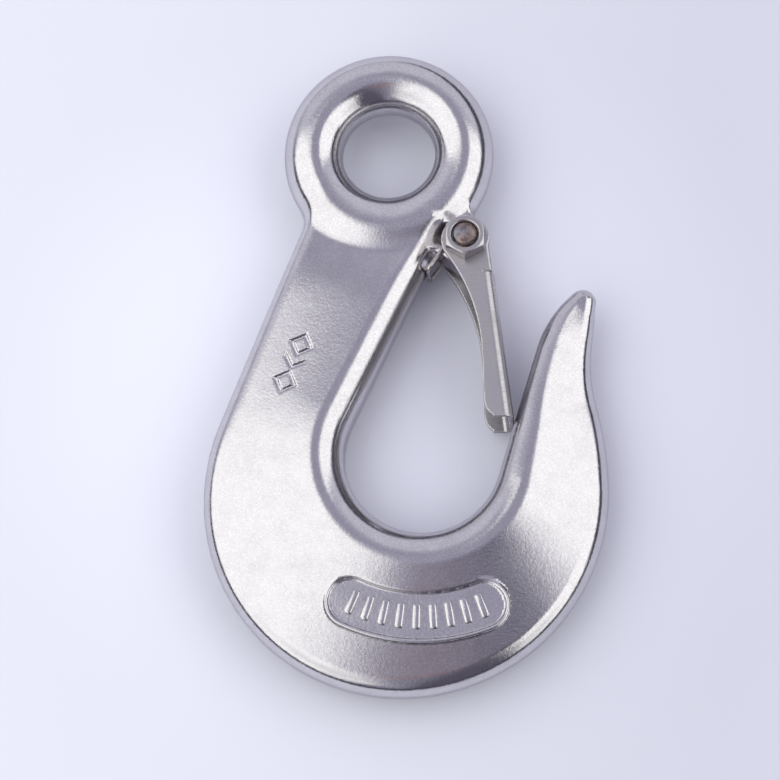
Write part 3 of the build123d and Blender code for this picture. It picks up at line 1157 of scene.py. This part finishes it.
@dataclass
class Latch:
    """The folded sheet latch with its two ears."""

    layout: Layout
    tip_width: float = 6.1
    belly: tuple[float, float] = (3.3, -24.5)
    corner: float = 3.2
    web_drop: float = 7.0
    web_step: float = 0.3
    bend: float = 2.2
    edge: float = 0.16
    drawn_edge: float = 0.75
    hole: float = 2.56
    cell: float = 0.24
    finish: BrushedSheet = field(default_factory=BrushedSheet)

    def __post_init__(self) -> None:
        """Lays out the plates' outline below the ears."""
        plan = self.layout
        drop = plan.latch_drop
        foot_left = np.array([plan.web_x(drop) - self.tip_width, -drop])
        belly = np.array(self.belly)
        ear = toward(plan.ear_radius, 215)
        hollow = Stretch(belly, ear, belly - foot_left)
        first = np.arctan2(belly[1] - hollow.centre[1], belly[0] - hollow.centre[0])
        curve = [
            hollow.centre + abs(hollow.radius) * np.array([math.cos(a), math.sin(a)])
            for a in first + hollow.sweep * np.linspace(0, 1, 15)
        ]
        up = (belly - foot_left) / np.linalg.norm(belly - foot_left)
        middle = foot_left + np.array([1.0, 0.0]) * self.corner + np.array([0.0, 1.0]) * self.corner
        rounded = [middle + toward(self.corner, a) for a in np.linspace(266, 184, 9)]
        rounded[-1] = foot_left + up * self.corner
        self.corners = [
            *(tuple(c) for c in curve), (0.0, 0.0), (plan.ear_radius - self.web_step, 0.0),
            (plan.web_x(self.web_drop) - self.web_step, -self.web_drop),
            (plan.web_x(self.web_drop) - self.bend, -self.web_drop),
            (plan.web_x(drop) - self.bend, -drop), *(tuple(c) for c in rounded),
        ]

    def surface(self, x: Array, y: Array, z: Array) -> Array:
        """Distance to the latch.

        Args:
            x: first coordinate, in millimetres.
            y: second coordinate.
            z: third coordinate.

        Returns:
            Distance field of the latch.
        """
        plan = self.layout
        px, py = plan.pin
        u, v = x - px, y - py
        tall = np.abs(z)
        outer = plan.ear_inner + plan.sheet
        shape = np.minimum(polygon(u, v, self.corners), np.hypot(u, v) - plan.ear_radius)
        slab = np.abs(tall - outer + plan.sheet / 2) - plan.sheet / 2
        drawn = np.clip((u - 1.5) / 2.5, 0.0, 1.0) * np.clip((0.8 - v) / 2.0, 0.0, 1.0)
        drawn = drawn * np.clip((v + self.web_drop) / 0.8 + 0.4, 0.0, 1.0)
        outer_side = np.clip((tall - outer + plan.sheet) / plan.sheet, 0.0, 1.0)
        plates = meet(shape, slab, self.edge + (self.drawn_edge - self.edge) * drawn * outer_side)
        slope = (plan.web_x(1.0) - plan.web_x(0.0))
        depth = (plan.web_x(-v) - u) / math.sqrt(1 + slope**2)
        outside = meet(-depth, tall - outer, self.bend)
        inside = meet(plan.sheet - depth, tall - plan.ear_inner, self.bend - plan.sheet)
        channel = np.maximum(outside, -inside)
        ends = np.maximum(v + self.web_drop, -v - plan.latch_drop)
        fold = meet(channel, np.maximum(ends, depth - 2 * self.bend), self.edge)
        latch = np.minimum(plates, fold)
        return cut(latch, np.hypot(u, v) - self.hole, 0.1)

    def build(self) -> bpy.types.Object:
        """Meshes the latch and puts it on the latch body.

        Returns:
            The piece.
        """
        px, py = self.layout.pin
        outer = self.layout.ear_inner + self.layout.sheet
        plates = [(-outer - 0.6, -outer + 2.2, 0.22), (outer - 2.4, outer + 1, 0.22)]
        steps = (
            ladder(px - 6.0, px + 10.8, self.cell), ladder(py - 39.2, py + 6.2, 0.3),
            ladder(-outer - 0.6, outer + 0.6, 0.6, plates),
        )
        piece = Skin(self.surface, steps, 0.3).build("latch_channel")
        piece.data.materials.append(self.finish.material())
        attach(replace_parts(piece, "latch"), "latch")
        return piece


@dataclass
class Pivot:
    """The latch bolt and its nut."""

    layout: Layout
    across: float = 8.0
    head: float = 3.5
    nut: float = 4.0
    proud: float = 0.6
    thread_pitch: float = 0.8
    thread_depth: float = 0.30
    dome: float = 7.0
    cell: float = 0.17
    steel: TurnedSteel = field(default_factory=TurnedSteel)
    stained: DullBolt = field(default_factory=DullBolt)

    @property
    def seat(self) -> float:
        """Height of the nut's seat, and of the head's below."""
        return self.layout.ear_inner + self.layout.sheet + self.layout.end_gap

    def hexagon(self, x: Array, y: Array, low: Array, high: Array) -> Array:
        """Distance to a chamfered hexagonal prism with a corner towards -Y.

        Args:
            x: first coordinate.
            y: second coordinate.
            low: height below its foot, positive outside.
            high: height above its top, positive outside.

        Returns:
            Distance field of the prism.
        """
        px, py = self.layout.pin
        u, v = x - px, y - py
        half = math.sqrt(3) / 2
        sides = np.maximum(np.abs(u), np.maximum(np.abs(u * 0.5 + v * half), np.abs(u * 0.5 - v * half)))
        prism = meet(sides - self.across / 2, np.maximum(low, high), 0.12)
        reach = np.hypot(u, v)
        slope = 0.5
        top = (high + (reach - self.across / 2 + 0.15) * slope) / math.sqrt(1 + slope**2)
        return -join(-prism, -top, 0.06)

    def nut_surface(self, x: Array, y: Array, z: Array) -> Array:
        """Distance to the nut, with a chamfered top and a dished bore.

        Args:
            x: first coordinate, in millimetres.
            y: second coordinate.
            z: third coordinate.

        Returns:
            Distance field of the nut.
        """
        px, py = self.layout.pin
        reach = np.hypot(x - px, y - py)
        block = self.hexagon(x, y, self.seat - z, z - self.seat - self.nut)
        bore = reach - self.layout.bolt_radius - 0.05
        dish = reach - self.layout.bolt_radius - 0.05 - np.maximum(z - self.seat - self.nut + 0.5, 0.0)
        return cut(block, np.minimum(bore, dish), 0.08)

    def bolt_surface(self, x: Array, y: Array, z: Array) -> Array:
        """Distance to the bolt: its head below, its shank, its thread and its domed end.

        Args:
            x: first coordinate, in millimetres.
            y: second coordinate.
            z: third coordinate.

        Returns:
            Distance field of the bolt.
        """
        px, py = self.layout.pin
        reach = np.hypot(x - px, y - py)
        end = self.seat + self.nut + self.proud
        turn = np.arctan2(y - py, x - px) / math.tau
        tooth = np.abs(((z / self.thread_pitch - turn) % 1.0) * 2 - 1)
        groove = np.where(z > self.seat, self.thread_depth * tooth, 0.0)
        dome = np.hypot(reach, np.maximum(z - end + self.dome, 0.0)) - self.dome
        shank = meet(reach - self.layout.bolt_radius + groove, np.maximum(dome, -z - self.seat - 1.0), 0.35)
        head = self.hexagon(x, y, z + self.seat, -z - self.seat - self.head)
        return join(shank, head, 0.15)

    def build(self) -> list[bpy.types.Object]:
        """Meshes the bolt and the nut and puts them on the hook body.

        Returns:
            The two pieces.
        """
        px, py = self.layout.pin
        foot, top = -self.seat - self.head, self.seat + self.nut
        end = top + self.proud
        sides = (ladder(px - 5.0, px + 5.0, self.cell), ladder(py - 5.2, py + 5.2, self.cell))
        levels = ladder(self.seat - 0.5, top + 0.5, self.cell)
        nut = Skin(self.nut_surface, (*sides, levels), 0.3).build("lock_nut_hex")
        nut.data.materials.append(self.steel.material())
        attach(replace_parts(nut, "lock_nut"), "hook")
        bands = [(foot - 0.5, -self.seat + 0.5, 0.2), (top - 1.0, end + 1, 0.14)]
        levels = ladder(foot - 0.5, end + 0.5, 0.5, bands)
        bolt = Skin(self.bolt_surface, (*sides, levels), 0.3).build("latch_bolt_shank")
        bolt.data.materials.append(self.steel.material())
        bolt.data.materials.append(self.stained.material())
        heights = np.array([p.center.z for p in bolt.data.polygons])
        bolt.data.polygons.foreach_set("material_index", (heights > self.seat * MM).astype(np.int32))
        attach(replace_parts(bolt, "latch_bolt"), "hook")
        return [nut, bolt]


@dataclass
class Spring:
    """The double torsion spring: a loop on the shank, a coil and a leg each side of the lug."""

    layout: Layout
    bend: float = 1.2
    sides: int = 14
    finish: DrawnWire = field(default_factory=DrawnWire)

    def centre_line(self) -> Array:
        """Middle line of the upper half, from the loop's middle to the end of the leg.

        Returns:
            The line's points in order.
        """
        plan = self.layout
        base = plan.lug_half + plan.side_gap + plan.wire
        rise = plan.coil_pitch * plan.coil_turn / 360
        corner = np.array([*plan.bail, base])
        start_angle = plan.meets_coil(plan.bail, -1)
        coil_start = np.array([*toward(plan.coil_radius, start_angle), base])
        run = (corner - coil_start) / np.linalg.norm(corner - coil_start)
        centre = corner - (run + np.array([0.0, 0.0, 1.0])) * self.bend
        turns = [
            centre + self.bend * (run * math.cos(a) + np.array([0.0, 0.0, 1.0]) * math.sin(a))
            for a in np.linspace(0, math.pi / 2, 9)
        ]
        loop = [np.array([*plan.bail, h]) for h in np.linspace(0.0, base - self.bend, 5)[:-1]]
        share = np.linspace(0, 1, 90)
        coil = [
            np.array([*toward(plan.coil_radius, start_angle - plan.coil_turn * s), base + rise * s])
            for s in share
        ]
        away = [turns[-1] + (coil_start - turns[-1]) * s for s in np.linspace(0, 1, 6)[1:-1]]
        leg = np.array([*plan.leg, base + rise])
        last = [coil[-1] + (leg - coil[-1]) * s for s in np.linspace(0, 1, 9)[1:]]
        points = np.array([*loop, *turns, *away, *coil, *last])
        return points + np.array([*plan.pin, 0.0])

    def tree(self) -> bpy.types.NodeTree:
        """The node tree that draws round wire along a curve, with inputs Radius and Sides.

        Returns:
            The tree.
        """
        graph, given = open_tree("wire_along_curve", {"Radius": "Float", "Sides": "Int"})
        values = {"Resolution": given["Sides"], "Radius": given["Radius"]}
        ring = graph.node("GeometryNodeCurvePrimitiveCircle", {"mode": "RADIUS"}, values)
        values = {"Curve": given["Geometry"], "Profile Curve": ring.outputs[0], "Fill Caps": True}
        return close_tree(graph, graph.node("GeometryNodeCurveToMesh", {}, values), self.finish.material())

    def build(self) -> list[bpy.types.Object]:
        """Draws both halves, which lie between the hook and the latch.

        Returns:
            The two pieces.
        """
        plan, tree, made = self.layout, self.tree(), []
        upper = self.centre_line()
        base = plan.lug_half + plan.side_gap + plan.wire
        top = base + plan.coil_pitch * plan.coil_turn / 360
        for name, flip in (("spring_upper", 1.0), ("spring_lower", -1.0)):
            curve = bpy.data.curves.new(name + "_line", "CURVE")
            curve.dimensions = "3D"
            spline = curve.splines.new("POLY")
            line = upper * np.array([1.0, 1.0, flip]) * MM
            spline.points.add(len(line) - 1)
            spline.points.foreach_set("co", np.column_stack([line, np.ones(len(line))]).ravel())
            piece = grow(name, tree, {"Radius": plan.wire * MM, "Sides": self.sides}, curve)
            piece.data.shade_smooth()
            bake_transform(piece)
            made.append(piece)
        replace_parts(made[0], "latch_spring")
        return made


# ---------------------------------------------------------------- studio


@dataclass
class Studio:
    """Camera, pale table and the soft light round it."""

    target: tuple[float, float, float] = (0.215, -51.845, 0.0)
    tilt: float = 14.3
    turn: float = 10.0
    distance: float = 581.3
    lens: float = 127.385
    table_level: float = -11.6
    table: Colour = (0.66, 0.675, 0.735, 1.0)
    # Painted shade: the table's colour on its right side, and how much it darkens far from the hook
    table_shaded_right: Colour = (0.53, 0.54, 0.605, 1.0)
    table_far_shade: float = 0.86
    box_light: float = 1.42
    right_edge: float = 0.42
    gap: Colour = (0.42, 0.41, 0.52, 1.0)
    sweep: Colour = (0.70, 0.69, 0.80, 1.0)
    front_gap: Colour = (0.34, 0.33, 0.42, 1.0)
    front_dark: Colour = (0.125, 0.115, 0.16, 1.0)
    warm_glow: Colour = (0.36, 0.25, 0.27, 1.0)
    horizon: Colour = (0.085, 0.08, 0.11, 1.0)
    table_light: float = 2.12

    def camera(self) -> bpy.types.Object:
        """The camera above the hook, leaning a little towards its bowl.

        Returns:
            The camera.
        """
        t, a = math.radians(self.tilt), math.radians(self.turn)
        look = Vector((-math.sin(t) * math.sin(a), math.sin(t) * math.cos(a), -math.cos(t)))
        data = bpy.data.cameras.new("camera")
        data.lens, data.sensor_width = self.lens, 36.0
        data.clip_start, data.clip_end = 0.01, 20.0
        made = put("camera", data)
        aside = look.cross(Vector((0.0, 1.0, 0.0))).normalized()
        above = aside.cross(look)
        made.rotation_mode = "QUATERNION"
        made.rotation_quaternion = Matrix((aside, above, -look)).transposed().to_quaternion()
        made.location = Vector(self.target) * MM - look * self.distance * MM
        bpy.context.scene.camera = made
        return made

    def floor(self) -> bpy.types.Object:
        """The pale table, with painted shade towards its right and away from the hook.

        Returns:
            The table.
        """
        size, level = 1.6, self.table_level * MM
        corners = [(x * size, y * size, level) for x, y in ((-1, -1), (1, -1), (1, 1), (-1, 1))]
        mesh = bpy.data.meshes.new("table")
        mesh.from_pydata(corners, [], [(0, 1, 2, 3)])
        made = put("table", mesh)
        material = bpy.data.materials.new("table_paper")
        material.use_nodes = True
        graph = Graph(material.node_tree)
        place = graph.place()
        side, ahead, _ = graph.split(place)
        # Painted shade: the table darkens towards the right. The noise is random mottling.
        shade = side.ramp(-0.09, 0.10) + graph.noise(place, 9.0, 2.0, 0.5) * 0.15
        colour = graph.mix(shade, self.table, self.table_shaded_right)
        # Painted shade: the table darkens further from the hook, as the light falls off.
        away = (side * side + (ahead + 0.05) * (ahead + 0.05)) ** 0.5
        far = graph.node("ShaderNodeMix", {"data_type": "RGBA", "blend_type": "MULTIPLY"},
                         {0: 1.0, 6: colour, 7: grey(self.table_far_shade)})
        colour = graph.mix(away.ramp(0.035, 0.095), colour, far.outputs[2])
        graph.surface(graph.node("ShaderNodeBsdfPrincipled", {}, {"Base Color": colour, "Roughness": 0.75}))
        mesh.materials.append(material)
        return made

    def light(self) -> None:
        """Two wide softboxes, a dim gap overhead that darkens to the front, and a pale sweep behind."""
        world = bpy.data.worlds.new("studio")
        bpy.context.scene.world = world
        world.use_nodes = True
        graph = Graph(world.node_tree)
        x, y, z = graph.split(graph.node("ShaderNodeTexCoord").outputs["Generated"])
        high = z.at_least(0.02)
        right, back = x / high, y / high
        front = (back * -1.0).at_least(0.0)
        colour = graph.mix(back.ramp(0.42, 1.00), self.gap, self.sweep)
        colour = graph.mix(back.ramp(0.03, -0.22), colour, self.front_gap)
        colour = graph.mix(back.ramp(0.03, -0.22) * right.ramp(-0.12, 0.30), colour, self.front_dark)
        warm = (right - 0.02).size().ramp(0.16, 0.05) * (back + 0.30).size().ramp(0.20, 0.07)
        colour = graph.mix(warm * 0.7, colour, self.warm_glow)
        edge_left = right * -1.0 - 0.12 - front * 0.09 - (front - 2.0).at_least(0.0) * 0.6
        edge_right = right - (front * 0.8 + 0.10).at_least(self.right_edge)
        blur = front * 1.1 + 1.0
        top_left = (right * -0.42 + 0.235).at_most(1.05) - back
        top_right = (right * 0.35 + 0.38).at_most(1.0) - back
        left_side = (edge_left / blur).ramp(-0.07, 0.09) * top_left.ramp(-0.16, 0.06)
        right_side = (edge_right / blur).ramp(-0.08, 0.08) * top_right.ramp(-0.05, 0.05)
        inward = front.ramp(0.2, 1.0) * edge_left.at_least(edge_right).ramp(1.5, 0.0)
        bright = graph.mix(inward, grey(self.box_light), grey(self.box_light * 0.68))
        colour = graph.mix(left_side, colour, bright)
        colour = graph.mix(right_side, colour, bright)
        rim_right = z.ramp(0.34, 0.24) * right.ramp(1.8, 2.6) * back.ramp(-1.0, -0.5)
        rim = z.ramp(0.26, 0.16) * (1.0 - back.ramp(1.5, 4.0) * 0.85)
        colour = graph.mix(rim.at_least(rim_right), colour, self.horizon)
        # The table is lit mostly from overhead, apart from what the steel reflects
        seen = graph.number("ShaderNodeLightPath", {}, {}, "Is Camera Ray")
        colour = graph.mix(seen, colour, grey(0.80, -0.02))
        scattered = graph.number("ShaderNodeLightPath", {}, {}, "Is Diffuse Ray")
        strength = scattered * ((z * z * 1.3 + 0.35) * self.table_light - 1.0) + 1.0
        shader = graph.node("ShaderNodeBackground", {}, {"Color": colour, "Strength": strength})
        graph.surface(shader, "World")

    def build(self) -> None:
        """Sets up everything that isn't the object."""
        self.camera()
        self.floor()
        self.light()
        bpy.context.scene.view_settings.view_transform = "Standard"


def report(*pieces: bpy.types.Object) -> None:
    """Logs the size of finished pieces.

    Args:
        pieces: the finished pieces.
    """
    for piece in pieces:
        mesh = piece.data
        faces = sum(len(p.vertices) - 2 for p in mesh.polygons)
        log.info("%s: %d points, %d triangles", piece.name, len(mesh.vertices), faces)


def main() -> None:
    """Builds the hook's looks round its frame."""
    logging.basicConfig(level=logging.INFO, format="%(name)s: %(message)s")
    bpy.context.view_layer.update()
    layout = Layout()
    Studio().build()
    hook = HookBody(layout)
    report(hook.build())
    report(PadMarks(hook).build())
    report(Latch(layout).build())
    report(*Pivot(layout).build())
    report(*Spring(layout).build())


if __name__ == "__main__":
    main()
